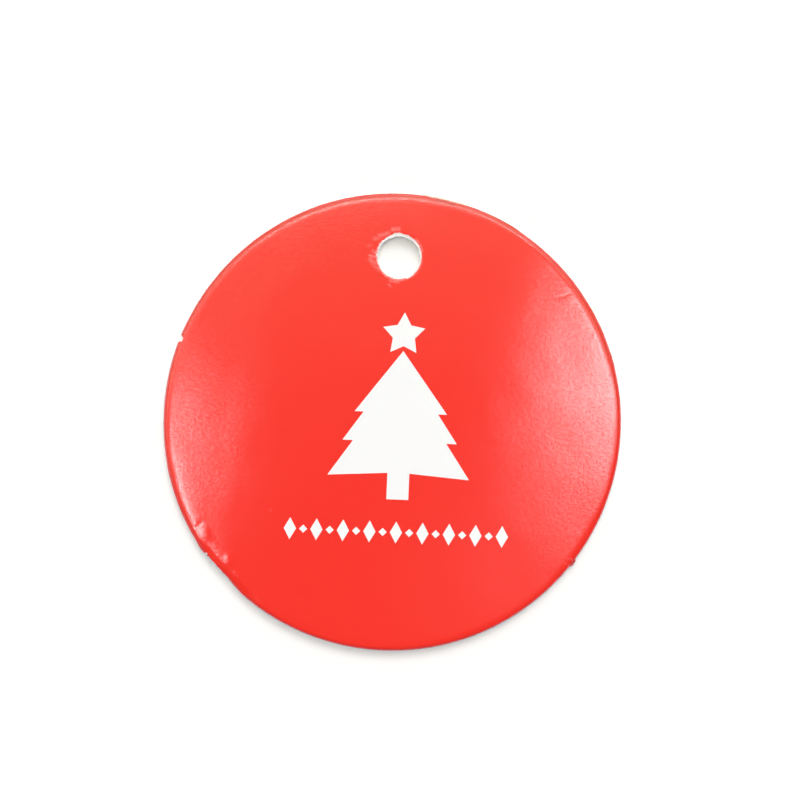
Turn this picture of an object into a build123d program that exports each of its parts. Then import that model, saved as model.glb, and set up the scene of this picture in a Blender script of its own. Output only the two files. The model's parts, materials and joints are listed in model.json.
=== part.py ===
from build123d import *

import os
from math import cos, pi, sin

# A round gift tag: a disc die cut from pasted board, printed red around a white star, tree and
# ornament row, laminated with clear gloss film, and punched near its rim for a string.
# The origin is the middle of the back face. +Z points out of the printed face, +Y to the hole.
# All sizes are in millimetres and all angles in degrees.

# Disc and string hole
TAG_DIAMETER = 50.0
HOLE_DIAMETER = 4.9
HOLE_TO_RIM = 6.9

# Thickness of each ply, from the back to the face
BACK_PAPER = 0.12
BOARD_CORE = 0.50
FACE_PAPER = 0.11
RED_PRINT = 0.03
GLOSS_FILM = 0.04

# Shoulder along the rim, where the die drags the face down and crushes the core
RIM_CORE = 0.24
SHOULDER_WIDTH = 0.55
SHOULDER_RADIUS = 1.0

# Lip around the hole, pressed down by the punch
LIP_WIDTH = 0.30
LIP_DROP = 0.08

# Bridges that held the tag in its sheet: some broke outside the rim and left a stub, and others
# tore the printed skin back from the board
STUB_ANGLES = (218.5, 324.4)
STUB_WIDTH = 0.90
STUB_REACH = 0.28
TEAR_ANGLES = (77.0, 160.9)
TEAR_WIDTH = 0.80
TEAR_DEPTH = 0.30

# The print stands this far to the right of the hole, because sheets never lie quite true in the die
PRINT_SHIFT = 0.90

# Tree, with tiers from the top down: half the width across the tips, height of the tips, and half
# the width where the tier's underside meets what is below it
TREE_TOP = 7.80
TREE_TIERS = ((5.05, 1.03, 4.07), (6.25, -2.14, 5.10), (7.75, -6.02, 1.20))
UNDERSIDE_RISE = 0.45
TRUNK_FOOT = -8.45

# Star over the tree's tip, with the gap between the two
STAR_POINTS = 5
STAR_RADIUS = 2.42
STAR_WAIST = 1.27
STAR_GAP = 0.54

# Ornament row under the tree: diamonds with a small square diamond between each two
ROW_HEIGHT = -12.05
ROW_PITCH = 2.90
DIAMOND_COUNT = 9
DIAMOND_WIDTH = 1.35
DIAMOND_HEIGHT = 2.40
SMALL_DIAMOND = 0.90

# Levels between the plies, and what follows from the sizes above
CORE_BASE = BACK_PAPER
CORE_TOP = CORE_BASE + BOARD_CORE
PAPER_TOP = CORE_TOP + FACE_PAPER
PRINT_TOP = PAPER_TOP + RED_PRINT
FILM_TOP = PRINT_TOP + GLOSS_FILM
RIM = TAG_DIAMETER / 2
SHOULDER_DROP = BOARD_CORE - RIM_CORE
HOLE_CENTRE = Pos(0, RIM - HOLE_TO_RIM)


def contour(level, rolls):
    """Line of a ply's surface from the axis to the rim, flat or rolled down over the shoulder."""
    if not rolls:
        return Line((0, level), (RIM, level))
    shoulder = (RIM - SHOULDER_WIDTH, level)
    edge = (RIM, level - SHOULDER_DROP)
    return FilletPolyline((0, level), shoulder, edge, radius=SHOULDER_RADIUS)


def disc(low, high, low_rolls, high_rolls):
    """Round ply between two levels, turned from its half section."""
    base = contour(low, low_rolls)
    top = contour(high, high_rolls)
    section = make_face(base + Line(base @ 1, top @ 1) + top + Line(top @ 0, base @ 0))
    return revolve(Plane.XZ * section, Axis.Z)


def lip(low, high, low_rolls, high_rolls):
    """Ring of a ply around the hole, where its surfaces are pressed down towards the wall."""
    wall = HOLE_DIAMETER / 2
    flat = wall + LIP_WIDTH
    low_wall = low - LIP_DROP * low_rolls
    high_wall = high - LIP_DROP * high_rolls
    section = Polygon((wall, low_wall), (flat, low), (flat, high), (wall, high_wall))
    return HOLE_CENTRE * revolve(Plane.XZ * section, Axis.Z)


def rim_round(angle, width, reach):
    """Circle through two rim points, width apart, that stands reach outside the rim or inside it."""
    depth = abs(reach)
    radius = (width**2 / 4 + depth**2) / (2 * depth)
    outwards = reach / depth
    return Rot(0, 0, angle) * Pos(RIM + reach - outwards * radius, 0) * Circle(radius)


def stubs(low, high, low_rolls, high_rolls):
    """Broken bridges outside the rim, as thick as the ply is at the rim."""
    low_edge = low - SHOULDER_DROP * low_rolls
    high_edge = high - SHOULDER_DROP * high_rolls
    rounds = [rim_round(angle, STUB_WIDTH, STUB_REACH) for angle in STUB_ANGLES]
    outline = Sketch() + rounds - Circle(RIM)
    return extrude(Pos(0, 0, low_edge) * outline, amount=high_edge - low_edge)


def ply(low, high, low_rolls=True, high_rolls=True):
    """Whole ply: the disc with its pressed lip round the hole and its stubs on the rim."""
    pressed = extrude(HOLE_CENTRE * Circle(HOLE_DIAMETER / 2 + LIP_WIDTH), amount=FILM_TOP)
    levels = (low, high, low_rolls, high_rolls)
    return disc(*levels) - pressed + lip(*levels) + stubs(*levels)


def tears():
    """Places on the rim where the printed skin came away with a bridge."""
    rounds = [rim_round(angle, TEAR_WIDTH, -TEAR_DEPTH) for angle in TEAR_ANGLES]
    return extrude(Sketch() + rounds, amount=FILM_TOP)


def tree():
    """Outline of the tree, its right side from the top down and then its left side back up."""
    right = [(0, TREE_TOP)]
    for tip, height, waist in TREE_TIERS:
        right += [(tip, height), (waist, height)]
    trunk, underside = right.pop()
    right += [(trunk, underside + UNDERSIDE_RISE), (trunk, TRUNK_FOOT)]
    left = [(-x, y) for x, y in reversed(right[1:])]
    return make_face(Polyline(*right, *left, close=True))


def star():
    """Star with one point straight up, clear of the tip of the tree by its gap."""
    underside = STAR_WAIST if STAR_POINTS % 2 else STAR_RADIUS
    corners = []
    for step in range(2 * STAR_POINTS):
        radius = STAR_WAIST if step % 2 else STAR_RADIUS
        turn = pi / 2 + step * pi / STAR_POINTS
        corners.append((radius * cos(turn), radius * sin(turn)))
    return Pos(0, TREE_TOP + STAR_GAP + underside) * make_face(Polyline(*corners, close=True))


def diamond(width, height):
    """Figure with four corners, standing on one of them."""
    half = width / 2
    tip = height / 2
    return make_face(Polyline((half, 0), (0, tip), (-half, 0), (0, -tip), close=True))


def ornament_row():
    """Row of large and small diamonds in turn, centred under the tree."""
    large = diamond(DIAMOND_WIDTH, DIAMOND_HEIGHT)
    small = diamond(SMALL_DIAMOND, SMALL_DIAMOND)
    row = Sketch()
    row += [place * large for place in GridLocations(ROW_PITCH, 0, DIAMOND_COUNT, 1)]
    row += [place * small for place in GridLocations(ROW_PITCH, 0, DIAMOND_COUNT - 1, 1)]
    return Pos(0, ROW_HEIGHT) * row


def motif():
    """White figure of the print, as one flat filling of the red layer's openings."""
    figure = Pos(PRINT_SHIFT, 0, PAPER_TOP) * (tree() + star() + ornament_row())
    return extrude(figure, amount=RED_PRINT)


def back_paper():
    """Plain white paper pasted on the back of the board."""
    return ply(0, CORE_BASE, low_rolls=False, high_rolls=False)


def board_core():
    """Pulp board, full thickness in the middle and crushed along the rim."""
    return ply(CORE_BASE, CORE_TOP, low_rolls=False)


def face_paper():
    """White coated paper pasted on the face of the board."""
    return ply(CORE_TOP, PAPER_TOP)


def red_print():
    """Red layer, open where the white figure shows the paper under it."""
    return ply(PAPER_TOP, PRINT_TOP) - tears() - motif()


def gloss_film():
    """Clear film over the print, whose glue fills the openings of the red layer."""
    return ply(PRINT_TOP, FILM_TOP) - tears() + motif()


os.makedirs("parts", exist_ok=True)
for piece in (back_paper, board_core, face_paper, red_print, gloss_film):
    export_step(piece(), f"parts/{piece.__name__}.step")
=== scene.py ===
import json
from math import cos, pi, radians, sin

import bmesh
import bpy
import numpy as np
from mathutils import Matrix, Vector, noise
from mathutils.geometry import delaunay_2d_cdt
from mathutils.kdtree import KDTree


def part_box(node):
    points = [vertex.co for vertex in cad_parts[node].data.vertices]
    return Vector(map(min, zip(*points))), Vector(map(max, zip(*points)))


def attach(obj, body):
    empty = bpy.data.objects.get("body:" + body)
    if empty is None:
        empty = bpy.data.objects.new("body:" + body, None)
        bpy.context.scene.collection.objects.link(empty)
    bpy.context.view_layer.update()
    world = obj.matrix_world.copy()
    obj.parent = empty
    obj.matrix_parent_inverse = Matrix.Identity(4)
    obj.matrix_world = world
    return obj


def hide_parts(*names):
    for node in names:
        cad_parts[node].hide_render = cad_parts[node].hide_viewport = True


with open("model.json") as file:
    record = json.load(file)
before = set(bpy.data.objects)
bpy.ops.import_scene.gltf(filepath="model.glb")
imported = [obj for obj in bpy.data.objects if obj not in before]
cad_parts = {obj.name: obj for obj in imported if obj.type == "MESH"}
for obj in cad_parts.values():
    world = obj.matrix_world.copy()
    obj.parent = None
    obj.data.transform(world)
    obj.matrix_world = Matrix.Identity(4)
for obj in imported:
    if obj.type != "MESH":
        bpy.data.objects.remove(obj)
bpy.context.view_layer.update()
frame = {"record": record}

# Back paper
# Plain uncoated white paper, pasted on the back of the board before the tag is die cut, so its edge
# is sheared flush with the board's. All three paper plies are the same cut disc at other levels.
MM = 0.001
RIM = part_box("back_paper")[1].y
HOLE = frame["record"]["mounts"][0]
HOLE_Y = HOLE["pos_m"][1]
HOLE_RADIUS = HOLE["dims"]["r_mm"] * MM
BACK_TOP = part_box("back_paper")[1].z
CORE_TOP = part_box("board_core")[1].z
PAPER_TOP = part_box("face_paper")[1].z
FILM_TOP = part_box("gloss_film")[1].z

# Shoulder along the rim: the face leans over gently, and then rolls down at the edge
LEAN_START = 1.00 * MM
LEAN_FALL = 0.0375 * MM
ROLL_START = 0.37 * MM
ROLL_POWER = 3.4
EDGE_ROLL = 0.10 * MM
EDGE_DROP = 0.02 * MM
SHOULDER_DROP = CORE_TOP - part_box("face_paper")[0].z
LIP_WIDTH = 0.30 * MM
LIP_DROP = 0.015 * MM
BURR_WIDTH = 0.06 * MM

# Dent of the whole rim: angle in degrees, half width, flank, reach
RIM_DENT = (225.5, 2.60 * MM, 2.20 * MM, -0.20 * MM)
# Marks on the rim: angle, half width, flank, and the reach of board, face paper and print
RIM_MARKS = (
    (324.4, 0.47 * MM, 0.14 * MM, 0.10 * MM, 0.13 * MM, 0.18 * MM),
    (215.6, 0.90 * MM, 0.70 * MM, 0.05 * MM, 0.05 * MM, 0.06 * MM),
    (217.7, 0.17 * MM, 0.07 * MM, 0.02 * MM, 0.02 * MM, -0.24 * MM),
    (219.9, 0.80 * MM, 0.22 * MM, -0.03 * MM, -0.02 * MM, -0.06 * MM),
    (220.9, 1.24 * MM, 0.22 * MM, -0.03 * MM, -0.02 * MM, -0.05 * MM),
    (222.2, 1.80 * MM, 0.22 * MM, -0.03 * MM, -0.02 * MM, -0.05 * MM),
    (137.0, 11.0 * MM, 5.00 * MM, -0.04 * MM, -0.04 * MM, -0.05 * MM),
    (160.9, 0.36 * MM, 0.10 * MM, 0.00 * MM, -0.05 * MM, -0.38 * MM),
    (79.0, 2.10 * MM, 0.60 * MM, 0.00 * MM, -0.03 * MM, -0.07 * MM),
    (203.0, 8.00 * MM, 4.00 * MM, 0.03 * MM, 0.05 * MM, 0.07 * MM),
    (35.0, 14.0 * MM, 6.00 * MM, 0.05 * MM, 0.05 * MM, 0.06 * MM),
    (65.5, 4.00 * MM, 1.80 * MM, 0.07 * MM, 0.08 * MM, 0.09 * MM),
)
# Places of these reaches in a mark
BOARD, PAPER, PRINT = range(3, 6)
# Marks on the hole's edge: angle, half width, flank, and the reach of board and face paper
HOLE_MARKS = (
    (303.0, 0.60 * MM, 0.30 * MM, 0.10 * MM, 0.10 * MM),
    (88.0, 2.40 * MM, 1.60 * MM, 0.00 * MM, -0.10 * MM),
    (64.0, 0.30 * MM, 0.20 * MM, 0.00 * MM, -0.05 * MM),
    (112.0, 0.25 * MM, 0.15 * MM, 0.00 * MM, -0.05 * MM),
    (148.0, 0.30 * MM, 0.20 * MM, 0.00 * MM, 0.06 * MM),
    (10.0, 0.40 * MM, 0.25 * MM, 0.00 * MM, -0.04 * MM),
    (265.0, 1.90 * MM, 1.20 * MM, 0.00 * MM, 0.07 * MM),
)

# Points round a ply and across each of its strips, and how much they crowd towards the edges
COLUMNS = 1200
BASE_ROWS = 10
TOP_ROWS = 24
WALL_ROWS = 8
CROWDING = 3.4
WELD = 1e-7
FRAY_GRAIN = 0.35 * MM


class Wire:
    """A number in a node tree. Sums and products of wires add math nodes to the tree."""

    def __init__(self, tree, socket):
        self.tree = tree
        self.socket = socket

    def reckon(self, operation, *others):
        node = self.tree.nodes.new("ShaderNodeMath")
        node.operation = operation
        for place, value in zip(node.inputs, (self, *others)):
            plug(self.tree, place, value)
        return Wire(self.tree, node.outputs[0])

    def __add__(self, other):
        return self.reckon("ADD", other)

    def __sub__(self, other):
        return self.reckon("SUBTRACT", other)

    def __mul__(self, other):
        return self.reckon("MULTIPLY", other)

    def __truediv__(self, other):
        return self.reckon("DIVIDE", other)

    def __pow__(self, other):
        return self.reckon("POWER", other)

    def held(self):
        """The number kept between 0 and 1."""
        return self.reckon("MAXIMUM", 0.0).reckon("MINIMUM", 1.0)


def plug(tree, place, value):
    """Sets a socket, or links it when the value is a wire or another socket."""
    if isinstance(value, Wire):
        tree.links.new(value.socket, place)
    elif isinstance(value, bpy.types.NodeSocket):
        tree.links.new(value, place)
    else:
        place.default_value = value


def live(sockets, name):
    """The socket of that name that the node's settings leave in use."""
    return next(s for s in sockets if s.name == name and s.enabled)


def grow(tree, kind, inputs=None, **settings):
    """Adds one node to a tree, with its own settings and with inputs by socket name."""
    node = tree.nodes.new(kind)
    for name, value in settings.items():
        setattr(node, name, value)
    for name, value in (inputs or {}).items():
        plug(tree, live(node.inputs, name), value)
    return node


def reading(node, name):
    """A node's output of that name, as a wire."""
    return Wire(node.id_data, live(node.outputs, name))


def new_tree(name, numbers, counts):
    """Geometry tree with its named inputs: numbers, whole numbers and the finish."""
    tree = bpy.data.node_groups.new(name, "GeometryNodeTree")
    for label in numbers:
        tree.interface.new_socket(label, in_out="INPUT", socket_type="NodeSocketFloat")
    for label in counts:
        tree.interface.new_socket(label, in_out="INPUT", socket_type="NodeSocketInt")
    tree.interface.new_socket("Finish", in_out="INPUT", socket_type="NodeSocketMaterial")
    tree.interface.new_socket("Geometry", in_out="OUTPUT", socket_type="NodeSocketGeometry")
    return tree, tree.nodes.new("NodeGroupInput")


def end_tree(tree, given, shape):
    """Last nodes of every geometry tree: real faces with their finish."""
    real = grow(tree, "GeometryNodeRealizeInstances", {"Geometry": shape})
    finish = live(given.outputs, "Finish")
    done = grow(tree, "GeometryNodeSetMaterial", {"Geometry": real.outputs[0], "Material": finish})
    end = tree.nodes.new("NodeGroupOutput")
    tree.links.new(done.outputs[0], end.inputs["Geometry"])


def stored(tree, shape, name, value):
    """Keeps a number at each point of a shape under a name."""
    inputs = {"Geometry": shape, "Name": name, "Value": value}
    node = grow(tree, "GeometryNodeStoreNamedAttribute", inputs, data_type="FLOAT", domain="POINT")
    return node.outputs[0]


def recalled(tree, name):
    """The number kept under a name, as a wire."""
    node = grow(tree, "GeometryNodeInputNamedAttribute", {"Name": name}, data_type="FLOAT")
    return reading(node, "Attribute")


def point(tree, x, y, z):
    """Vector socket of three numbers."""
    return grow(tree, "ShaderNodeCombineXYZ", {"X": x, "Y": y, "Z": z}).outputs[0]


def raggedness(tree, place, grain, seed):
    """Random number from about -0.5 to 0.5 that changes over the grain's length."""
    inputs = {"Vector": place, "W": seed, "Scale": 1 / grain, "Detail": 3.0, "Roughness": 0.65}
    node = grow(tree, "ShaderNodeTexNoise", inputs, noise_dimensions="4D")
    return Wire(tree, node.outputs[0]) - 0.5


def held(value):
    """A wire or an array kept between 0 and 1."""
    return value.held() if isinstance(value, Wire) else np.clip(value, 0, 1)


def shoulder_fall(inside):
    """Fall of the face at a distance inside the rim, for wires and for arrays."""
    lean = held(inside * (-1 / LEAN_START) + 1.0)
    roll = held(inside * (-1 / ROLL_START) + 1.0)
    edge = held(inside * (-1 / EDGE_ROLL) + 1.0)
    rolled = roll**ROLL_POWER * (SHOULDER_DROP - LEAN_FALL)
    return lean * lean * LEAN_FALL + rolled + edge * edge * EDGE_DROP


def edge_radius(cosine, sine, radius, marks):
    """Radius of a cut edge with its marks, each a bump or a nick with slanted flanks."""
    edge = radius
    for angle, half, flank, reach in marks:
        aside = cosine - cos(radians(angle))
        along = sine - sin(radians(angle))
        arc = (aside * aside + along * along) ** 0.5 * radius
        edge = edge + ((arc * -1.0 + half) / flank).held() * reach
    return edge


def cut_ply_tree(reach):
    """Tree of one ply: four strips round it, for its underside, rim, face and hole wall."""
    numbers = ("Rim", "Hole Radius", "Hole Y", "Base", "Top", "Base Rolls", "Top Rolls", "Burr", "Fray")
    tree, given = new_tree("cut_ply", numbers, ("Seed",))
    rim, hole, hole_y, base, top, base_rolls, top_rolls, burr, fray = (
        reading(given, n) for n in numbers
    )
    seed = reading(given, "Seed")
    strips = grow(tree, "GeometryNodeJoinGeometry")
    for across_from, across_to, up_from, up_to, rows in (
        (0, 1, 0, 0, BASE_ROWS),
        (1, 1, 0, 1, WALL_ROWS),
        (1, 0, 1, 1, TOP_ROWS),
        (0, 0, 1, 0, WALL_ROWS),
    ):
        counts = {"Size X": 1.0, "Size Y": 1.0, "Vertices X": COLUMNS + 1, "Vertices Y": rows}
        shape = grow(tree, "GeometryNodeMeshGrid", counts).outputs["Mesh"]
        place = grow(tree, "GeometryNodeInputPosition").outputs[0]
        sides = grow(tree, "ShaderNodeSeparateXYZ", {"Vector": place})
        run = reading(sides, "Y") + 0.5
        shape = stored(tree, shape, "turn", (reading(sides, "X") + 0.5) * (2 * pi))
        shape = stored(tree, shape, "across", run * (across_to - across_from) + across_from)
        shape = stored(tree, shape, "up", run * (up_to - up_from) + up_from)
        tree.links.new(shape, strips.inputs[0])

    cosine = recalled(tree, "turn").reckon("COSINE")
    sine = recalled(tree, "turn").reckon("SINE")
    across = recalled(tree, "across")
    up = recalled(tree, "up")
    depth = up * (top - base)
    marks = [(*mark[:BOARD], mark[reach]) for mark in RIM_MARKS]
    rim_line = edge_radius(cosine, sine, rim, (RIM_DENT,))
    rim_edge = edge_radius(cosine, sine, rim_line, marks)
    rim_place = point(tree, cosine * rim, sine * rim, depth)
    rim_edge = rim_edge + raggedness(tree, rim_place, FRAY_GRAIN, seed) * fray
    chips = [(*mark[:BOARD], mark[reach]) for mark in HOLE_MARKS]
    hole_edge = edge_radius(cosine, sine, hole, chips)
    hole_place = point(tree, cosine * hole, sine * hole, depth)
    hole_edge = hole_edge + raggedness(tree, hole_place, FRAY_GRAIN, seed) * fray

    # Rows crowd towards both edges, where the shape changes
    near = across ** CROWDING
    far = (across * -1.0 + 1.0) ** CROWDING
    share = near / (near + far)
    rest = share * -1.0 + 1.0
    x = cosine * hole_edge * rest + cosine * rim_edge * share
    y = (sine * hole_edge + hole_y) * rest + sine * rim_edge * share

    shoulder = shoulder_fall(rim_line - (x * x + y * y) ** 0.5)
    off = y - hole_y
    ring = (x * x + off * off) ** 0.5 - HOLE_RADIUS
    lip = (ring * (-1 / LIP_WIDTH) + 1.0).held() ** 2.0 * LIP_DROP
    fall = shoulder + lip - (ring * (-1 / BURR_WIDTH)).held() * burr
    low = base - fall * base_rolls
    high = top - fall * top_rolls
    z = low * (up * -1.0 + 1.0) + high * up

    placed = {"Geometry": strips.outputs[0], "Position": point(tree, x, y, z)}
    shape = grow(tree, "GeometryNodeSetPosition", placed).outputs[0]
    shape = grow(tree, "GeometryNodeMergeByDistance", {"Geometry": shape, "Distance": WELD}).outputs[0]
    end_tree(tree, given, shape)
    return tree


def link(name, mesh):
    """New object of a mesh, in the shared frame."""
    piece = bpy.data.objects.new(name, mesh)
    bpy.context.scene.collection.objects.link(piece)
    return piece


def from_tree(name, tree, **values):
    """Runs a geometry tree and returns its result as an object with a plain mesh."""
    piece = link(name, bpy.data.meshes.new(name))
    modifier = piece.modifiers.new("tree", "NODES")
    modifier.node_group = tree
    for socket in tree.interface.items_tree:
        if socket.in_out == "INPUT":
            modifier[socket.identifier] = values[socket.name.lower().replace(" ", "_")]
    seen = piece.evaluated_get(bpy.context.evaluated_depsgraph_get())
    mesh = bpy.data.meshes.new_from_object(seen)
    piece.modifiers.remove(modifier)
    piece.data = mesh
    return piece


def smooth(piece, sharp):
    """Turns a closed mesh's faces outwards and shades it smooth, up to an angle in degrees."""
    shape = bmesh.new()
    shape.from_mesh(piece.data)
    bmesh.ops.recalc_face_normals(shape, faces=shape.faces)
    shape.to_mesh(piece.data)
    shape.free()
    piece.data.shade_smooth()
    piece.data.set_sharp_from_angle(angle=radians(sharp))


def new_finish(name, roughness):
    """Material with its node tree and its shader."""
    finish = bpy.data.materials.new(name)
    finish.use_nodes = True
    shader = finish.node_tree.nodes["Principled BSDF"]
    shader.inputs["Roughness"].default_value = roughness
    return finish, finish.node_tree, shader


def speckle(tree, grain, seed, detail=2.0, stretch=(1.0, 1.0, 1.0)):
    """Random number from 0 to 1 over the object, with features of the grain's length."""
    place = grow(tree, "ShaderNodeTexCoord").outputs["Object"]
    drawn = grow(tree, "ShaderNodeMapping", {"Vector": place, "Scale": stretch}).outputs[0]
    inputs = {"Vector": drawn, "W": seed, "Scale": 1 / grain, "Detail": detail, "Roughness": 0.6}
    node = grow(tree, "ShaderNodeTexNoise", inputs, noise_dimensions="4D")
    return Wire(tree, node.outputs[0])


def tinted(tree, share, low, high):
    """Colour between two, each a colour or a socket, by a share from 0 to 1."""
    ends = {"Factor": share, "A": low, "B": high}
    return live(grow(tree, "ShaderNodeMix", ends, data_type="RGBA").outputs, "Result")


PAPER_ROUGHNESS = 0.92
PAPER_SHINE = 0.15
FIBRE_STRETCH = (1.0, 0.35, 1.0)
FIBRE_DETAIL = 4.0
FIBRE_SHARE = 0.6
CLOUD_SHARE = 0.4
CLOUD_FIBRES = 14
SHADE_START = 0.28
SHADE_SPAN = 0.44


def paper_finish(name, pale, dark, fibre, relief, seed):
    """Matt paper or pulp with long fibres, faint clouds and a slightly furry surface."""
    finish, tree, shader = new_finish(name, PAPER_ROUGHNESS)
    shader.inputs["Specular IOR Level"].default_value = PAPER_SHINE
    strands = speckle(tree, fibre, seed, FIBRE_DETAIL, FIBRE_STRETCH)
    clouds = speckle(tree, fibre * CLOUD_FIBRES, seed + 1)
    shade = (strands * FIBRE_SHARE + clouds * CLOUD_SHARE - SHADE_START) / SHADE_SPAN
    plug(tree, shader.inputs["Base Color"], tinted(tree, shade.held(), dark, pale))
    bump = grow(tree, "ShaderNodeBump", {"Strength": 1.0, "Distance": relief, "Height": strands})
    plug(tree, shader.inputs["Normal"], bump.outputs[0])
    return finish


def add_ply(name, tree, finish, **sizes):
    """One paper ply in the place of its node."""
    piece = from_tree(name, tree, hole_y=HOLE_Y, finish=finish, **sizes)
    smooth(piece, sharp=50)
    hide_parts(name.removesuffix("_cut"))
    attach(piece, "root")


BOARD_TREE = cut_ply_tree(BOARD)
BACK_WHITE = (0.86, 0.85, 0.82, 1.0)
BACK_SHADE = (0.76, 0.745, 0.71, 1.0)
BACK_RIM = RIM - 0.01 * MM
BACK_FRAY = 0.05 * MM
BOARD_HOLE_RADIUS = HOLE_RADIUS - 0.07 * MM
back_sheet = paper_finish(
    "back_sheet", BACK_WHITE, BACK_SHADE, fibre=0.16 * MM, relief=0.012 * MM, seed=3,
)
add_ply(
    "back_paper_cut", BOARD_TREE, back_sheet,
    base=0.0, top=BACK_TOP, base_rolls=0.0, top_rolls=0.0,
    rim=BACK_RIM, hole_radius=BOARD_HOLE_RADIUS, burr=0.0, fray=BACK_FRAY, seed=11,
)

# Board core
# Cream pulp board that gives the tag its stiffness. The die shears it, so that its edge is a
# rough wall of fibres, crushed along the rim where the face rolls down.
CORE_CREAM = (0.96, 0.93, 0.84, 1.0)
CORE_SHADE = (0.84, 0.77, 0.62, 1.0)
CORE_FRAY = 0.08 * MM
cut_pulp = paper_finish(
    "cut_pulp", CORE_CREAM, CORE_SHADE, fibre=0.09 * MM, relief=0.03 * MM, seed=5,
)
add_ply(
    "board_core_cut", BOARD_TREE, cut_pulp,
    base=BACK_TOP, top=CORE_TOP, base_rolls=0.0, top_rolls=1.0,
    rim=RIM, hole_radius=BOARD_HOLE_RADIUS, burr=0.0, fray=CORE_FRAY, seed=12,
)

# Face paper
# White coated paper pasted on the face of the board, which carries the print. It shows as a white
# line along the cut edge and as a torn ring round the punched hole.
PAPER_WHITE = (0.97, 0.96, 0.94, 1.0)
PAPER_SHADE = (0.90, 0.88, 0.85, 1.0)
PAPER_HOLE_RADIUS = HOLE_RADIUS - 0.13 * MM
PAPER_BURR = 0.055 * MM
PAPER_FRAY = 0.09 * MM
face_sheet = paper_finish(
    "face_sheet", PAPER_WHITE, PAPER_SHADE, fibre=0.12 * MM, relief=0.015 * MM, seed=7,
)
add_ply(
    "face_paper_cut", cut_ply_tree(PAPER), face_sheet,
    base=CORE_TOP, top=PAPER_TOP, base_rolls=1.0, top_rolls=1.0,
    rim=RIM, hole_radius=PAPER_HOLE_RADIUS, burr=PAPER_BURR, fray=PAPER_FRAY, seed=13,
)

# Printed skin
# Solid red offset print under clear gloss film, one skin on the face paper. The die rolls it down
# over the rim, the film shows fine leathery grain, and the bridges of the sheet tore its edge.
# From here the outlines are in millimetres on the face, and a mesh is scaled as it is made.
FACE_RIM = RIM / MM
HOLE_MIDDLE = np.array((0.0, HOLE_Y / MM))
SKIN_REACH = 0.015
PRINT_SHIFT = 0.90
# How ragged the skin is along the rim and round the hole: amount and grain
RIM_RAGGED = (0.012, 0.5)
HOLE_RAGGED = (0.035, 0.25)
# Net of the skin: points along its edges, rings inside them, and finer steps near marks
RIM_POINTS = 1200
RING_DEPTHS = (
    0.05, 0.10, 0.16, 0.22, 0.28, 0.34, 0.40, 0.46, 0.52, 0.58, 0.65, 0.73, 0.82, 0.95, 1.15,
)
HOLE_POINTS = 240
HOLE_RINGS = (0.05, 0.10, 0.16)
OUTLINE_STEP = 0.16
GRID_STEP = 0.42
FINE_STEP = 0.15
FINE_REACH = 0.75
FINEST_STEP = 0.075
FINEST_REACH = 0.25
HOLE_REACH = 1.00
ROOM = 0.05
EPSILON = 1e-6
SKIN_SHARP = 50

# Hole in the skin: its radius, which leaves a ring of paper bare, and its chips, each an angle, half
# width, flank and reach
SKIN_HOLE = 2.43
SKIN_CHIPS = (
    (100.0, 2.10, 1.00, 0.10),
    (97.0, 0.55, 0.28, 0.11),
    (145.0, 0.30, 0.15, 0.06),
    (188.0, 1.60, 0.90, -0.06),
    (35.0, 0.45, 0.20, 0.07),
    (302.0, 0.58, 0.22, 0.13),
)

# Pale scuffs of the print: path, half width, strength
SCUFFS = (
    (((-0.85, 21.05), (-0.15, 21.12)), 0.18, 0.26),
    (((-2.20, 20.30), (-1.30, 20.62)), 0.22, 0.18),
    (((-2.75, 19.95), (-2.25, 20.10)), 0.22, 0.12),
    (((-3.35, 19.15), (-3.15, 19.22)), 0.14, 0.12),
    (((-3.20, 18.10), (-2.60, 17.95)), 0.14, 0.26),
    (((-3.05, 17.60), (-2.70, 17.20)), 0.26, 0.18),
    (((-2.85, 18.60), (-2.55, 18.40)), 0.18, 0.18),
    (((-2.45, 16.85), (-2.15, 16.55)), 0.20, 0.12),
    (((-0.85, 15.42), (0.05, 15.34)), 0.14, 0.20),
    (((-1.00, 15.00), (-0.80, 14.80)), 0.10, 0.16),
    (((2.28, 19.50), (2.50, 18.80)), 0.10, 0.28),
    (((1.75, 20.05), (2.10, 19.70)), 0.10, 0.24),
    (((19.83, -14.07), (20.40, -14.26)), 0.05, 0.18),
    (((19.43, -14.61), (20.00, -14.84)), 0.05, 0.16),
)

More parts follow.
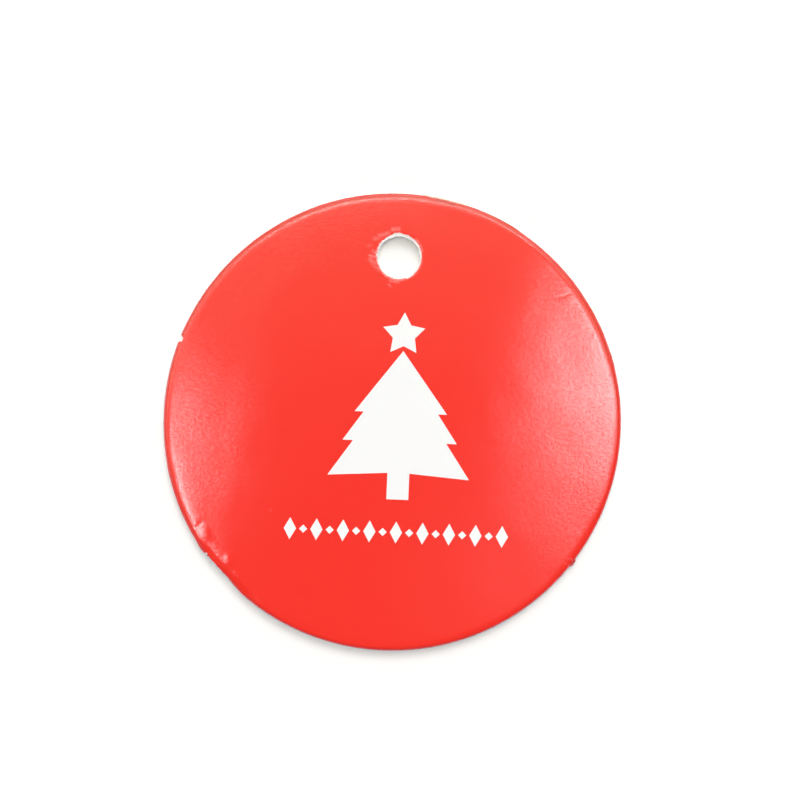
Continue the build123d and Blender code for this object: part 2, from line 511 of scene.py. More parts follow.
# Pressed and raised strokes of the face: path, half width, height, and fade at the path's ends
STROKES = (
    (
        ((-4.72, -10.07), (-3.6, -10.75), (-2.5, -10.96), (-1.3, -10.6), (-0.36, -9.67)),
        0.30, -0.012, 0.5,
    ),
    (
        ((15.09, 15.08), (16.05, 14.55), (17.15, 14.32), (18.30, 14.55), (19.46, 15.16)),
        0.18, -0.0035, 0.8,
    ),
    (((-17.30, -15.75), (-17.15, -16.00)), 0.48, 0.014, 0),
    (((-16.15, -17.30), (-16.05, -17.45)), 0.36, 0.006, 0),
    (((-21.20, -12.65), (-20.27, -11.67)), 0.22, -0.005, 0.3),
    (((-19.92, -12.80), (-19.72, -13.20)), 0.42, 0.009, 0),
    (((-24.92, -4.39), (-24.32, -6.97), (-23.46, -9.48), (-21.40, -13.55)), 1.10, -0.010, 1.5),
    (((-20.85, -13.52), (-19.00, -16.02), (-17.26, -17.88), (-13.52, -20.85)), 0.55, -0.05, 2.5),
    (((24.44, 6.55), (23.77, 8.65), (21.46, 13.41)), 0.90, -0.010, 1.5),
    (((22.74, 11.09), (19.94, 15.58), (16.26, 19.38)), 0.90, -0.014, 3.0),
    (((17.53, -18.16), (20.89, -14.09), (23.38, -9.45)), 1.20, -0.012, 2.0),
    (
        ((23.45, -9.24), (24.82, -4.38), (25.19, -0.44), (24.96, 3.51), (24.34, 6.52)),
        0.60, 0.010, 2.0,
    ),
    (((-12.7, -10.25), (-12.65, -10.3)), 0.22, 0.007, 0),
    (((-12.3, -18.1), (-12.2, -18.2)), 0.24, 0.007, 0),
)
# Waves of the board: length and height
WAVES = ((5.5, 0.010), (2.3, 0.0022))


def bumped(turns, radius, marks):
    """Radii of an edge with its marks, at angles given in radians."""
    edge = np.full(len(turns), float(radius))
    for angle, half, flank, reach in marks:
        arc = 2 * radius * np.abs(np.sin((turns - radians(angle)) / 2))
        edge += np.clip((half - arc) / flank, 0, 1) * reach
    return edge


def rim_line(turns):
    """Radii of the rim with its dent, at angles given in radians."""
    angle, *sizes = RIM_DENT
    return bumped(turns, FACE_RIM, [(angle, *(size / MM for size in sizes))])


def rim_depth(places):
    """Distance of each place inside the rim."""
    return rim_line(np.arctan2(places[:, 1], places[:, 0])) - np.hypot(*places.T)


def ragged(turns, radius, grain, seed):
    """Random numbers from about -1 to 1 along a round edge, with features of the grain's length."""
    reach = radius / grain
    return np.array([noise.fractal((reach * cos(t), reach * sin(t), seed), 0.6, 2.0, 3) for t in turns])


def round_points(radii, turns):
    """Points of a round line about the origin."""
    return np.column_stack((radii * np.cos(turns), radii * np.sin(turns)))


def honeycomb(step, radius):
    """Points of an even triangular grid over a disc."""
    rows = np.arange(-radius, radius, step * sin(pi / 3))
    places = []
    for number, y in enumerate(rows):
        x = np.arange(-radius, radius, step) + (number % 2) * step / 2
        places.append(np.column_stack((x, np.full(len(x), y))))
    places = np.concatenate(places)
    return places[np.hypot(*places.T) < radius]


def mound(away, half):
    """Share that falls off like a bell with the distance from its middle."""
    return np.exp(-((away / half) ** 2))


def path_distance(places, path):
    """Distance of each place from a line through some points."""
    best = np.full(len(places), np.inf)
    for start, end in zip(np.array(path[:-1]), np.array(path[1:])):
        run = end - start
        along = np.clip((places - start) @ run / (run @ run), 0, 1)
        best = np.minimum(best, np.hypot(*(places - start - along[:, None] * run).T))
    return best


def path_share(places, path, fade):
    """Share of a stroke at each place, which dies out towards both ends of its path."""
    best = np.full(len(places), np.inf)
    share = np.ones(len(places))
    length = sum(np.hypot(*np.subtract(end, start)) for start, end in zip(path[:-1], path[1:]))
    behind = 0.0
    for start, end in zip(np.array(path[:-1]), np.array(path[1:])):
        run = end - start
        along = np.clip((places - start) @ run / (run @ run), 0, 1)
        away = np.hypot(*(places - start - along[:, None] * run).T)
        passed = behind + along * np.hypot(*run)
        left = held(np.minimum(passed, length - passed) / fade) if fade else np.ones(len(places))
        share = np.where(away < best, left * left * (3 - 2 * left), share)
        best = np.minimum(best, away)
        behind += np.hypot(*run)
    return share


def divided(outline, step):
    """Outline with more points along its straight edges, no further apart than the step."""
    places = []
    for start, end in zip(outline, outline[1:] + outline[:1]):
        run = np.subtract(end, start)
        count = int(np.ceil(np.hypot(*run) / step))
        places += [np.add(start, run * k / count) for k in range(count)]
    return np.array(places)


def tree_outline():
    """Tree in tiers, from its tip down the left side and back up the right."""
    top = 7.80
    tiers = ((5.05, 1.03, 4.07), (6.25, -2.14, 5.10), (7.75, -6.02, 1.20))
    underside_rise = 0.45
    foot = -8.45
    left = []
    for tip, height, waist in tiers:
        left += [(-tip, height), (-waist, height)]
    trunk, underside = left.pop()
    left += [(trunk, underside + underside_rise), (trunk, foot)]
    right = [(-x, y) for x, y in reversed(left)]
    return [(x + PRINT_SHIFT, y) for x, y in [(0.0, top), *left, *right]]


def star_outline():
    """Star with one point straight up, just over the tip of the tree."""
    points = 5
    outer = 2.42
    inner = 1.27
    middle = 9.61
    outline = []
    for step in range(2 * points):
        radius = inner if step % 2 else outer
        turn = pi / 2 + step * pi / points
        outline.append((radius * cos(turn) + PRINT_SHIFT, radius * sin(turn) + middle))
    return outline


ROW_Y = -12.05
ROW_PITCH = 2.90
DIAMOND_COUNT = 9
DIAMOND = (1.35, 2.40)
SMALL_DIAMOND = (0.90, 0.90)


def row_places(count):
    """Middles of a row of figures, evenly spaced under the tree."""
    return [(PRINT_SHIFT + (k - (count - 1) / 2) * ROW_PITCH, ROW_Y) for k in range(count)]


def diamond_outline(middle, size):
    """Figure with four corners that stands on one of them."""
    x, y = middle
    half = size[0] / 2
    tip = size[1] / 2
    return [(x + half, y), (x, y + tip), (x - half, y), (x, y - tip)]


def face_net():
    """Net of triangles over the face: its points, its triangles, and which are red and which white."""
    turns = np.arange(RIM_POINTS) * 2 * pi / RIM_POINTS
    marks = [(mark[0], mark[1] / MM, mark[2] / MM, mark[PRINT] / MM) for mark in RIM_MARKS]
    line = rim_line(turns)
    rim = line + SKIN_REACH + bumped(turns, FACE_RIM, marks) - FACE_RIM
    amount, grain = RIM_RAGGED
    rim += amount * ragged(turns, FACE_RIM, grain, 21)
    hole_turns = np.arange(HOLE_POINTS) * 2 * pi / HOLE_POINTS
    amount, grain = HOLE_RAGGED
    hole = bumped(hole_turns, SKIN_HOLE, SKIN_CHIPS)
    hole = hole + amount * ragged(hole_turns, SKIN_HOLE, grain, 22)
    diamonds = [diamond_outline(place, DIAMOND) for place in row_places(DIAMOND_COUNT)]
    diamonds += [diamond_outline(place, SMALL_DIAMOND) for place in row_places(DIAMOND_COUNT - 1)]
    figures = [tree_outline(), star_outline(), *diamonds]
    loops = [round_points(rim, turns), HOLE_MIDDLE + round_points(hole, hole_turns)]
    loops += [divided(figure, OUTLINE_STEP) for figure in figures]

    last = RING_DEPTHS[-1]
    rings = [round_points(rim - depth - (rim - line) * depth / last, turns) for depth in RING_DEPTHS]
    rings += [HOLE_MIDDLE + round_points(hole + depth, hole_turns) for depth in HOLE_RINGS]
    inner = FACE_RIM - last - GRID_STEP / 2
    field = []
    for step, low, high in ((GRID_STEP, 2, 3), (FINE_STEP, 1, 2), (FINEST_STEP, 0, 1)):
        spots = honeycomb(step, inner)
        ring = np.hypot(*(spots - HOLE_MIDDLE).T) - SKIN_HOLE
        marked = np.min([path_distance(spots, path) for path, _, _ in SCUFFS], axis=0)
        pressed = np.min([path_distance(spots, stroke[0]) for stroke in STROKES], axis=0)
        coarseness = np.where(pressed < FINE_REACH, 1, 2)
        coarseness[(ring < HOLE_REACH) | (marked < FINEST_REACH)] = 0
        field.append(spots[(coarseness >= low) & (coarseness < high) & (ring > HOLE_RINGS[-1] + ROOM)])
    field = np.concatenate(field)

    taken = np.concatenate(loops[1:])
    tree = KDTree(len(taken))
    for number, (x, y) in enumerate(taken):
        tree.insert((x, y, 0.0), number)
    tree.balance()
    field = [(x, y) for x, y in field if tree.find((x, y, 0.0))[2] > ROOM]
    places = np.concatenate((*loops, *rings, np.array(field)))
    starts = np.cumsum([0] + [len(loop) for loop in loops])
    faces = [list(range(a, b)) for a, b in zip(starts[:-1], starts[1:])]
    net = delaunay_2d_cdt([Vector(p) for p in places], [], faces, 0, EPSILON)
    homes = [set(home) for home in net[5]]
    triangles = np.array(net[2])
    red = np.array([home == {0} for home in homes])
    white = np.array([home in ({0, 2}, {0, 3}) for home in homes])
    return np.array([p[:] for p in net[0]]), triangles[red], triangles[white]


def face_heights(places):
    """Heights of the film's surface in millimetres: shoulder, lip, waves of the board and strokes."""
    inside = rim_depth(places)
    heights = FILM_TOP / MM - shoulder_fall(inside * MM) / MM
    ring = (np.hypot(*(places - HOLE_MIDDLE).T) - HOLE_RADIUS / MM) / (LIP_WIDTH / MM)
    heights -= np.clip(1 - ring, 0, 1) ** 2 * LIP_DROP / MM
    for length, height in WAVES:
        heights += height * np.array([noise.noise((x / length, y / length, length)) for x, y in places])
    for path, half, height, fade in STROKES:
        share = path_share(places, path, fade)
        heights += height * share * mound(path_distance(places, path), half)
    return heights


def slab(name, places, triangles, heights, thickness):
    """Closed slab under some triangles of the net, as a mesh object."""
    used, corners = np.unique(triangles, return_inverse=True)
    corners = corners.reshape(-1, 3)
    count = len(used)
    upper = np.column_stack((places[used], heights[used]))
    lower = upper - (0, 0, thickness)
    edges = np.concatenate((corners[:, [0, 1]], corners[:, [1, 2]], corners[:, [2, 0]]))
    lone = ~np.isin(edges[:, 0] * count + edges[:, 1], edges[:, 1] * count + edges[:, 0])
    start, end = edges[lone].T
    walls = np.column_stack((start + count, end + count, end, start))
    faces = corners.tolist() + (corners[:, ::-1] + count).tolist() + walls.tolist()
    mesh = bpy.data.meshes.new(name)
    mesh.from_pydata((np.concatenate((upper, lower)) * MM).tolist(), [], faces)
    mesh.shade_smooth()
    mesh.set_sharp_from_angle(angle=radians(SKIN_SHARP))
    return link(name, mesh), np.concatenate((places[used], places[used]))


# Worn line round the hole and along the rim: width and share, and the share round the rim by azimuth
HOLE_WEAR = (0.05, 0.8)
RIM_WEAR = (0.16, 0.24)
RIM_WEAR_ROUND = ((110, 0), (145, 1), (180, 1), (205, 0))

# Darker, matt marks along the print's edge: path, half width, strength
DARK_EDGE_MARKS = (
    (((20.24, -14.84), (20.61, -14.34)), 0.09, 1.00),
    (((3.84, 24.46), (4.60, 24.30), (5.91, 23.93)), 0.10, 1.00),
    (((2.10, 24.72), (3.20, 24.58)), 0.05, 0.50),
    (((6.70, 23.82), (8.10, 23.38)), 0.05, 0.50),
)
# Painted shade along the rolled rim, with a duller film: a band, where it ends, its fade and share, and
# a darker line on the edge, its width and share. Both vary round the rim by azimuth, most at the top
RIM_SHADE_BAND = (0.44, 0.12, 0.55)
RIM_SHADE_LINE = (0.10, 0.70)
RIM_SHADE_ROUND = (
    (0, 0.4), (20, 0.8), (50, 0.8), (90, 1), (150, 0.7),
    (175, 0.3), (200, 0.1), (225, 0.1), (330, 0.1), (360, 0.4),
)


def round_share(places, table):
    """Share at each place, from a table of shares by azimuth in degrees."""
    turn = np.degrees(np.arctan2(places[:, 1], places[:, 0])) % 360
    return np.interp(turn, *zip(*table))


def shaded_and_marked(places):
    """Painted shade on the rolled rim and dark marks on the edge, at each place, from 0 to 1."""
    inside = rim_depth(places)
    end, fade, share = RIM_SHADE_BAND
    band = share * held((end - inside) / fade)
    width, share = RIM_SHADE_LINE
    line = share * mound(np.maximum(inside, 0), width)
    dull = round_share(places, RIM_SHADE_ROUND) * np.maximum(band, line)
    for path, half, strength in DARK_EDGE_MARKS:
        dull = np.maximum(dull, strength * mound(path_distance(places, path), half))
    return dull


def scuffed(places):
    """Wear of the print at each place, from 0 to 1: scuffs, and a bare line along the cut edges."""
    wear = np.zeros(len(places))
    for path, half, strength in SCUFFS:
        wear = np.maximum(wear, strength * mound(path_distance(places, path), half))
    ring = np.hypot(*(places - HOLE_MIDDLE).T) - SKIN_HOLE
    width, share = HOLE_WEAR
    wear = np.maximum(wear, share * mound(np.maximum(ring, 0), width))
    width, share = RIM_WEAR
    share = share * round_share(places, RIM_WEAR_ROUND)
    return np.maximum(wear, share * mound(rim_depth(places), width))


# Film: its pores and wrinkles, and its gloss
PORE_GRAIN = 0.16 * MM
PORE_LEVEL = 0.49
PORE_SPAN = 0.12
PORE_DEPTH = 0.0005 * MM
PORE_DULL = 0.64
PORE_STRETCH = (0.8, 1.0, 1.0)
WRINKLE_GRAIN = 0.25 * MM
WRINKLE_RELIEF = 0.0025 * MM
WRINKLE_STRETCH = (0.5, 1.0, 1.0)
FILM_ROUGHNESS = 0.07
FILM_INDEX = 1.50
PRINT_SHINE = 0.1
PRINT_ROUGHNESS = 0.5


def glossed(tree, shader):
    """Clear film over a print: a coat with fine pores and wrinkles that break up its gloss."""
    shader.inputs["Specular IOR Level"].default_value = PRINT_SHINE
    shader.inputs["Coat Roughness"].default_value = FILM_ROUGHNESS
    shader.inputs["Coat IOR"].default_value = FILM_INDEX
    pits = speckle(tree, PORE_GRAIN, 31, 0.0, PORE_STRETCH)
    pore = ((pits * -1.0 + PORE_LEVEL) / PORE_SPAN).held()
    wrinkles = speckle(tree, WRINKLE_GRAIN, 34, 0.0, WRINKLE_STRETCH)
    relief = wrinkles * WRINKLE_RELIEF - pore * PORE_DEPTH
    bump = grow(tree, "ShaderNodeBump", {"Strength": 1.0, "Distance": 1.0, "Height": relief})
    plug(tree, shader.inputs["Normal"], bump.outputs[0])
    plug(tree, shader.inputs["Coat Normal"], bump.outputs[0])
    plug(tree, shader.inputs["Coat Weight"], pore * -PORE_DULL + 1.0)
    return pore


def printed_finish():
    """Red print under film, a little uneven, with pale scuffs where the ink is worn or chipped."""
    red = (0.925, 0.0245, 0.0130, 1.0)
    deep = (0.895, 0.0230, 0.0125, 1.0)
    bare = (0.93, 0.80, 0.77, 1.0)
    # Brown for painted shade on the rolled rim and for dark marks on the edge
    shade_and_mark_brown = (0.40, 0.055, 0.035, 1.0)
    cloud_grain = 2.5 * MM
    speck_grain = 0.12 * MM
    shade_and_mark_grain = 0.20 * MM
    finish, tree, shader = new_finish("printed_gloss", PRINT_ROUGHNESS)
    grain = glossed(tree, shader)
    clouds = speckle(tree, cloud_grain, 32)
    ink = tinted(tree, (clouds * 0.4 - grain * 0.6 + 0.8).held(), deep, red)
    wear = Wire(tree, grow(tree, "ShaderNodeAttribute", attribute_name="wear").outputs["Fac"])
    specks = ((speckle(tree, speck_grain, 33, 3.0, (0.6, 1.0, 1.0)) - 0.38) / 0.22).held()
    broken = (wear * (specks * 1.2 + 0.2)).held()
    # Painted shade on the rolled rim and dark marks: the brown tint, and a duller coat where strongest
    dull = Wire(tree, grow(tree, "ShaderNodeAttribute", attribute_name="dull").outputs["Fac"])
    patchy = (dull * (speckle(tree, shade_and_mark_grain, 35, 3.0) * 0.9 + 0.55)).held()
    matt = ((patchy - 0.6) * 2.5).held()
    plug(tree, shader.inputs["Coat Weight"], (grain * -PORE_DULL + 1.0) * (matt * -0.85 + 1.0))
    plug(tree, shader.inputs["Base Color"], tinted(tree, broken, tinted(tree, patchy, ink, shade_and_mark_brown), bare))
    return finish


places, red_triangles, white_triangles = face_net()
heights = face_heights(places)
SKIN = (FILM_TOP - PAPER_TOP) / MM
printed_skin, skin_places = slab("printed_skin", places, red_triangles, heights, SKIN)
# Wear of the ink, and painted shade on the rolled rim with dark marks on the edge, kept at each point
for mark, amount in (("wear", scuffed(skin_places)), ("dull", shaded_and_marked(skin_places))):
    layer = printed_skin.data.attributes.new(mark, "FLOAT", "POINT")
    layer.data.foreach_set("value", amount.astype(np.float32))
printed_skin.data.materials.append(printed_finish())
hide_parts("red_print", "gloss_film")
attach(printed_skin, "root")

# White figure
# Star and tree left open in the print, where the white paper shows through the same gloss film.
# They lie flush in the red, with its grain running across them.
FIGURE_WHITE = (0.93, 0.93, 0.93, 1.0)
FIGURE_SHADE = (0.92, 0.92, 0.92, 1.0)


def figure_finish():
    """Bare white paper under gloss film."""
    finish, tree, shader = new_finish("figure_gloss", PRINT_ROUGHNESS)
    grain = glossed(tree, shader)
    plug(tree, shader.inputs["Base Color"], tinted(tree, grain, FIGURE_WHITE, FIGURE_SHADE))
    return finish


figure_gloss = figure_finish()
figure, _ = slab("star_and_tree", places, white_triangles, heights, SKIN)
figure.data.materials.append(figure_gloss)
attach(figure, "root")

# Ornament row
# Large and small diamonds in turn, left open in the print like the figure over them. Each is one
# flush inlay of white paper and film, repeated along a line under the tree.
INLAY_HEIGHT = SKIN * MM


def ornament_tree():
    """Tree of one row: a flat diamond on each point of a straight line."""
    numbers = ("Pitch", "Middle X", "Middle Y", "Top", "Thickness", "Width", "Height")
    tree, given = new_tree("ornament_row", numbers, ("Count",))
    pitch, middle_x, middle_y, top, thickness, width, height = (reading(given, n) for n in numbers)
    count = reading(given, "Count")
    line = grow(tree, "GeometryNodeMeshLine", {"Count": count, "Offset": point(tree, pitch, 0.0, 0.0)})
    start = middle_x - (count - 1.0) * pitch * 0.5
    offset = point(tree, start, middle_y, top - thickness * 0.5)
    row = grow(tree, "GeometryNodeSetPosition", {"Geometry": line.outputs[0], "Offset": offset})
    sides = {"Vertices": 4, "Radius Top": 0.5, "Radius Bottom": 0.5, "Depth": 1.0}
    block = grow(tree, "GeometryNodeMeshCone", sides)
    size = point(tree, width, height, thickness)
    centred = {"Geometry": block.outputs["Mesh"], "Translation": (0.0, 0.0, -0.5)}
    block = grow(tree, "GeometryNodeTransform", centred)
    inputs = {"Points": row.outputs[0], "Instance": block.outputs[0], "Scale": size}
    end_tree(tree, given, grow(tree, "GeometryNodeInstanceOnPoints", inputs).outputs[0])
    return tree


ORNAMENT_TREE = ornament_tree()
for name, count, (width, height) in (
    ("ornament_diamonds", DIAMOND_COUNT, DIAMOND),
    ("ornament_small_diamonds", DIAMOND_COUNT - 1, SMALL_DIAMOND),
):
    row = from_tree(
        name,
        ORNAMENT_TREE,
        pitch=ROW_PITCH * MM,
        middle_x=PRINT_SHIFT * MM,
        middle_y=ROW_Y * MM,
        top=FILM_TOP,
        thickness=INLAY_HEIGHT,
        width=width * MM,
        height=height * MM,
        count=count,
        finish=figure_gloss,
    )
    smooth(row, sharp=30)
    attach(row, "root")

# Torn fibres
# Loose fibres of the paper and the board, left standing where the punch and the die tore the cut
# edge. Each is a fine tapered thread rooted in a ply, and they are thickest where a bridge broke.
LEAST_RISE = radians(72)
MOST_RISE = radians(97)
SHORTEST = 0.35


def fibre_tree():
    """Tree of one fringe: threads rooted along an arc, each with its own length and heading."""
    numbers = (
        "Middle Y", "Radius", "Jitter", "Height", "From", "To", "Heading", "Spread", "Length", "Width",
    )
    tree, given = new_tree("fibre_fringe", numbers, ("Count", "Seed"))
    middle_y, radius, jitter, height, first, last, heading, spread, length, width = (
        reading(given, n) for n in numbers
    )
    seed = reading(given, "Seed")

    def chance(low, high, salt):
        """Random number for each thread."""
        inputs = {"Min": low, "Max": high, "Seed": seed + salt}
        return reading(grow(tree, "FunctionNodeRandomValue", inputs, data_type="FLOAT"), "Value")

    turn = chance(first, last, 1)
    away = radius + chance(jitter * -1.0, jitter, 2)
    root = point(tree, turn.reckon("COSINE") * away, turn.reckon("SINE") * away + middle_y, height)
    threads = grow(tree, "GeometryNodePoints", {"Count": reading(given, "Count"), "Position": root})
    cone = {"Vertices": 5, "Radius Top": 0.25, "Radius Bottom": 0.5, "Depth": 1.0}
    thread = grow(tree, "GeometryNodeMeshCone", cone)
    swing = turn + heading + chance(spread * -1.0, spread, 3)
    inputs = {
        "Points": threads.outputs[0],
        "Instance": thread.outputs["Mesh"],
        "Rotation": point(tree, 0.0, chance(LEAST_RISE, MOST_RISE, 4), swing),
        "Scale": point(tree, width, width, chance(length * SHORTEST, length, 5)),
    }
    end_tree(tree, given, grow(tree, "GeometryNodeInstanceOnPoints", inputs).outputs[0])
    return tree


FIBRE_TREE = fibre_tree()
TORN_TAN = (0.80, 0.64, 0.42, 1.0)
TORN_SHADE = (0.60, 0.43, 0.27, 1.0)
torn_pulp = paper_finish(
    "torn_pulp", TORN_TAN, TORN_SHADE, fibre=0.09 * MM, relief=0.02 * MM, seed=9,
)
RIM_TOP = PAPER_TOP - SHOULDER_DROP - EDGE_DROP
EDGE_TOP = FILM_TOP - SHOULDER_DROP - EDGE_DROP / 2
HOLE_TOP = PAPER_TOP + PAPER_BURR
FLECK_TOP = PAPER_TOP - SHOULDER_DROP / 2
FIRST_SEED = 60
# Fringes: finish, slot, middle, radius, jitter, level, arc, heading, spread, length, width, count
FRINGES = {
    "hole_fibres": (
        face_sheet, "face_paper", HOLE_Y, 2.32, 0.05, HOLE_TOP, (0, 360), 180, 80, 0.22, 0.04, 120,
    ),
    "hole_flap_fibres": (
        face_sheet, "face_paper", HOLE_Y, 2.42, 0.07, HOLE_TOP, (45, 150), 90, 40, 0.30, 0.05, 60,
    ),
    "edge_fibres": (
        face_sheet, "face_paper", 0.0, 24.98, 0.05, RIM_TOP, (190, 262), 0, 80, 0.16, 0.04, 320,
    ),
    "rim_fibres": (
        torn_pulp, "board_core", 0.0, 24.99, 0.03, EDGE_TOP, (62, 190), 0, 90, 0.14, 0.03, 520,
    ),
    "bridge_fibres": (
        torn_pulp, "board_core", 0.0, 24.93, 0.06, EDGE_TOP, (73.5, 84.5), 0, 90, 0.26, 0.05, 150,
    ),
    "fleck_fibres": (
        face_sheet, "face_paper", 0.0, 24.86, 0.05, FLECK_TOP, (217.4, 218.0), 0, 90, 0.14, 0.06, 16,
    ),
    "notch_fibres": (
        cut_pulp, "board_core", 0.0, 24.82, 0.12, RIM_TOP, (160.1, 161.7), 0, 60, 0.22, 0.045, 44,
    ),
}
for number, (name, settings) in enumerate(FRINGES.items()):
    finish, slot, middle, radius, jitter, level, arc, heading, spread, length, width, count = settings
    fringe = from_tree(
        name,
        FIBRE_TREE,
        middle_y=middle,
        radius=radius * MM,
        jitter=jitter * MM,
        height=level,
        **{"from": radians(arc[0]), "to": radians(arc[1])},
        heading=radians(heading),
        spread=radians(spread),
        length=length * MM,
        width=width * MM,
        count=count,
        seed=FIRST_SEED + number,
        finish=finish,
    )
    smooth(fringe, sharp=60)
    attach(fringe, "root")

# Floor, light and camera
# White card under the tag. A brighter sky beyond the hole throws the shadow below the rim. Soft lamps
# give the gloss on the left and right, and an arc of them the line of light along the shoulder.
FLOOR_SIZE = 3.0
FLOOR_LEVEL = -0.02 * MM
FLOOR_WHITE = (0.98, 0.98, 0.98, 1.0)
FLOOR_SHADE = (0.97, 0.97, 0.97, 1.0)
FLOOR_ROUGHNESS = 0.9
FLOOR_GRAIN = 0.4 * MM
floor_mesh = bpy.data.meshes.new("floor")
half = FLOOR_SIZE / 2
corners = [(-half, -half, 0.0), (half, -half, 0.0), (half, half, 0.0), (-half, half, 0.0)]
floor_mesh.from_pydata(corners, [], [(0, 1, 2, 3)])
floor = link("floor", floor_mesh)
floor.location.z = FLOOR_LEVEL
card, card_tree, card_shader = new_finish("white_card", FLOOR_ROUGHNESS)
card_shader.inputs["Specular IOR Level"].default_value = 0.0
fleck = speckle(card_tree, FLOOR_GRAIN, 51)
plug(card_tree, card_shader.inputs["Base Color"], tinted(card_tree, fleck, FLOOR_SHADE, FLOOR_WHITE))
floor_mesh.materials.append(card)

# Lamps over the tag, each a step above the one before it so that none hides another: place, spread
# across and along, tilt, and radiance of red, green and blue. The right lamp also has a hardness,
# by which its far end fades faster beyond its waist
LAMP_HEIGHT = 0.50
LAMP_STEP = 0.001
LAMPS = {
    "lamp_right": ((0.0722, 0.0212), (0.0154, 0.0280), -0.26, (17.3, 17.4, 18.0), 0.8),
    "lamp_right_foot": ((0.0700, -0.0360), (0.0130, 0.0240), -0.40, (0.9, 0.9, 0.9)),
    "lamp_below": ((0.0320, -0.0500), (0.0160, 0.0160), 0.0, (0.55, 0.55, 0.53)),
    "lamp_left": ((-0.0802, -0.0355), (0.0100, 0.0232), -0.43, (18.6, 18.8, 19.3)),
    "lamp_left_rim": ((-0.1000, 0.0180), (0.0220, 0.0220), 0.0, (2.2, 2.2, 2.1)),
    "lamp_left_head": ((-0.0580, 0.0400), (0.0220, 0.0180), 0.0, (0.4, 0.38, 0.3)),
    "lamp_ahead": ((0.0, 0.0660), (0.30, 0.0347), 0.04, (0.78, 0.72, 0.42)),
}
# Width of a lamp and distance of its waist from its middle, in spreads
LAMP_REACH = 5.0
LAMP_WAIST = 0.4

# Arcs of lamps beyond the hole that draw the line of light along the shoulder and the glow inside
# it: spread along the arc, then the radius, spread across, azimuth and radiance of each lamp
ARC_LENGTH = 0.025
ARC_BLUE = 0.93
ARC_LAMPS = (
    (0.119, 0.0045, 67.0, 27.0),
    (0.096, 0.0045, 90.0, 11.5),
    (0.092, 0.0045, 114.0, 11.0),
    (0.095, 0.0045, 138.0, 3.7),
    (0.078, 0.0120, 94.0, 1.3),
    (0.078, 0.0120, 118.0, 1.4),
)
for number, (radius, across, azimuth, radiance) in enumerate(ARC_LAMPS):
    turn = radians(azimuth)
    place = (radius * cos(turn), radius * sin(turn))
    shade = (radiance, radiance, ARC_BLUE * radiance)
    LAMPS[f"lamp_arc_{number}"] = (place, (ARC_LENGTH, across), turn - pi / 2, shade)


def bell(away):
    """Share that falls off like a bell with the distance from its middle."""
    return (away * away * -0.5).reckon("EXPONENT")


def soft_lamp(name, height, place, spread, tilt, radiance, hardness=0.0):
    """Lamp that shines straight down, with a radiance that falls off from its middle."""
    lamp = bpy.data.lights.new(name, "AREA")
    lamp.shape = "RECTANGLE"
    lamp.size = LAMP_REACH * spread[0]
    lamp.size_y = LAMP_REACH * spread[1]
    lamp.energy = pi * lamp.size * lamp.size_y
    lamp.use_nodes = True
    tree = lamp.node_tree
    spot = grow(tree, "ShaderNodeNewGeometry").outputs["Parametric"]
    sides = grow(tree, "ShaderNodeSeparateXYZ", {"Vector": spot})
    across = (reading(sides, "X") - 0.5) * LAMP_REACH
    along = (reading(sides, "Y") - 0.5) * LAMP_REACH
    along = along + (along - LAMP_WAIST).reckon("MAXIMUM", 0.0) * hardness
    plug(tree, tree.nodes["Emission"].inputs["Strength"], bell(across) * bell(along))
    tree.nodes["Emission"].inputs["Color"].default_value = (*radiance, 1.0)
    holder = bpy.data.objects.new(name, lamp)
    holder.location = (*place, height)
    holder.rotation_euler.z = tilt
    bpy.context.scene.collection.objects.link(holder)


for number, (name, settings) in enumerate(LAMPS.items()):
    soft_lamp(name, LAMP_HEIGHT + number * LAMP_STEP, *settings)

# Sky, by its height from 0 at the horizon to 1 overhead. A side is an azimuth, the least cosine of the
# angle round the horizon from it at which there is light, and the rise of that cosine to full light
SKY_EVEN = 0.025
# Horizon: radiance away from its side and on it, and height where it ends
SKY_HORIZON = (0.70, 1.70, 0.45)
SKY_HORIZON_SIDE = (260.0, -0.2, 1.0)
# Middle overhead, and a high part beyond the hole: radiance, lowest height and rise
SKY_MIDDLE = (0.20, 0.95, 0.045)
SKY_HIGH = (2.4, 0.955, 0.02)
SKY_HIGH_SIDE = (112.0, -0.25, 0.85)
# Ring below the high part, and a low part: radiance, height and spread
SKY_RING = (2.2, 0.910, 0.045)
SKY_RING_SIDE = (112.0, -0.5, 0.85)
SKY_LOW = (6.60, 0.56, 0.15)
SKY_LOW_SIDE = (80.0, 0.70, 0.25)
# Height where the high part and the ring end, and their fall to it
SKY_TOP = (0.986, 0.004)
SKY_COOL = (1.0, 1.03, 1.60)
SKY_WARM = (1.0, 0.97, 0.76)
world = bpy.data.worlds.new("pale_sky")
bpy.context.scene.world = world
world.use_nodes = True
sky = world.node_tree
direction = grow(sky, "ShaderNodeTexCoord").outputs["Generated"]
sides = grow(sky, "ShaderNodeSeparateXYZ", {"Vector": direction})
height = reading(sides, "Z")
flat = (height * height * -1.0 + 1.0).reckon("MAXIMUM", EPSILON) ** 0.5


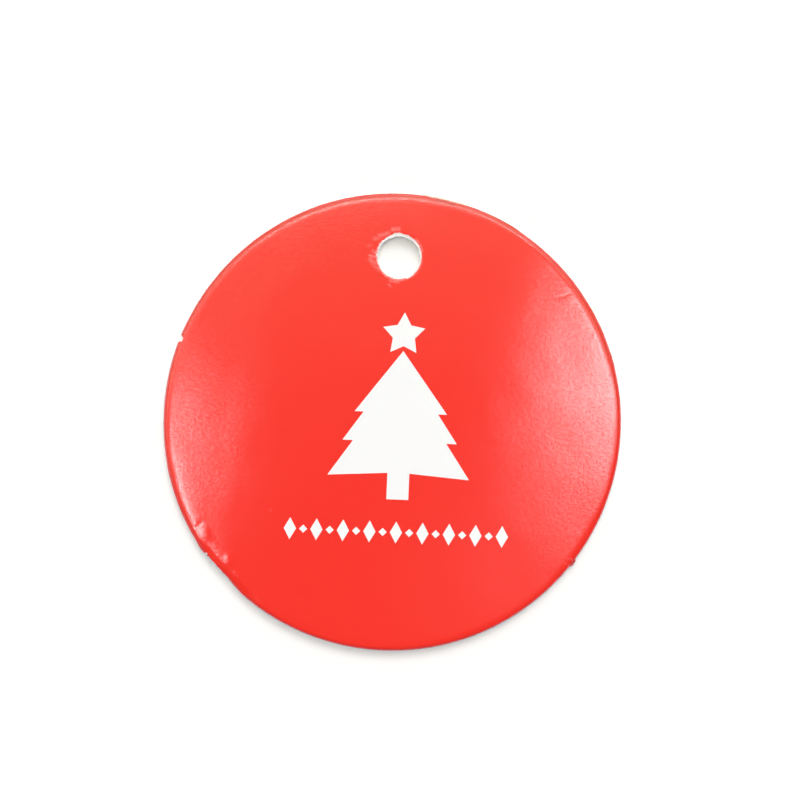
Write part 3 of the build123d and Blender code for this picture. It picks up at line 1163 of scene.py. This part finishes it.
def sky_side(azimuth, least, rise):
    """Share of full light round the horizon, on one side of the sky."""
    east = cos(radians(azimuth))
    north = sin(radians(azimuth))
    toward = reading(sides, "X") * east + reading(sides, "Y") * north
    return ((toward / flat - least) / rise).held()


away, on, end = SKY_HORIZON
glow = sky_side(*SKY_HORIZON_SIDE) * (on - away) + away
even = (height * (-1 / end) + 1.0).held() * glow + SKY_EVEN
radiance, lowest, rise = SKY_HIGH
warm = ((height - lowest) / rise).held() * sky_side(*SKY_HIGH_SIDE) * radiance
radiance, middle, spread = SKY_RING
warm = warm + bell((height - middle) / spread) * sky_side(*SKY_RING_SIDE) * radiance
end, fall = SKY_TOP
warm = warm * ((height * -1.0 + end) / fall).held()
radiance, middle, spread = SKY_LOW
plain = bell((height - middle) / spread) * sky_side(*SKY_LOW_SIDE) * radiance
radiance, lowest, rise = SKY_MIDDLE
plain = plain + ((height - lowest) / rise).held() * radiance
shades = [even * cool + warm * pale + plain for cool, pale in zip(SKY_COOL, SKY_WARM)]
plug(sky, sky.nodes["Background"].inputs["Color"], point(sky, *shades))

# The camera looks straight down on the face, a little turned and off the middle of the tag
CAMERA_HEIGHT = 0.30
CAMERA_TURN = radians(2.375)
FIELD_WIDTH = 87.53 * MM
AIM_RIGHT = 0.850 * MM
AIM_UP = 2.409 * MM
camera_data = bpy.data.cameras.new("camera")
camera = bpy.data.objects.new("camera", camera_data)
camera_data.sensor_width = 36.0
camera_data.lens = camera_data.sensor_width * CAMERA_HEIGHT / FIELD_WIDTH
camera_data.clip_start = 0.01
camera.rotation_euler = (0.0, 0.0, CAMERA_TURN)
camera.location = (
    AIM_RIGHT * cos(CAMERA_TURN) - AIM_UP * sin(CAMERA_TURN),
    AIM_RIGHT * sin(CAMERA_TURN) + AIM_UP * cos(CAMERA_TURN),
    CAMERA_HEIGHT + FILM_TOP - SHOULDER_DROP,
)
bpy.context.scene.collection.objects.link(camera)
bpy.context.scene.camera = camera
bpy.context.scene.view_settings.view_transform = "Standard"
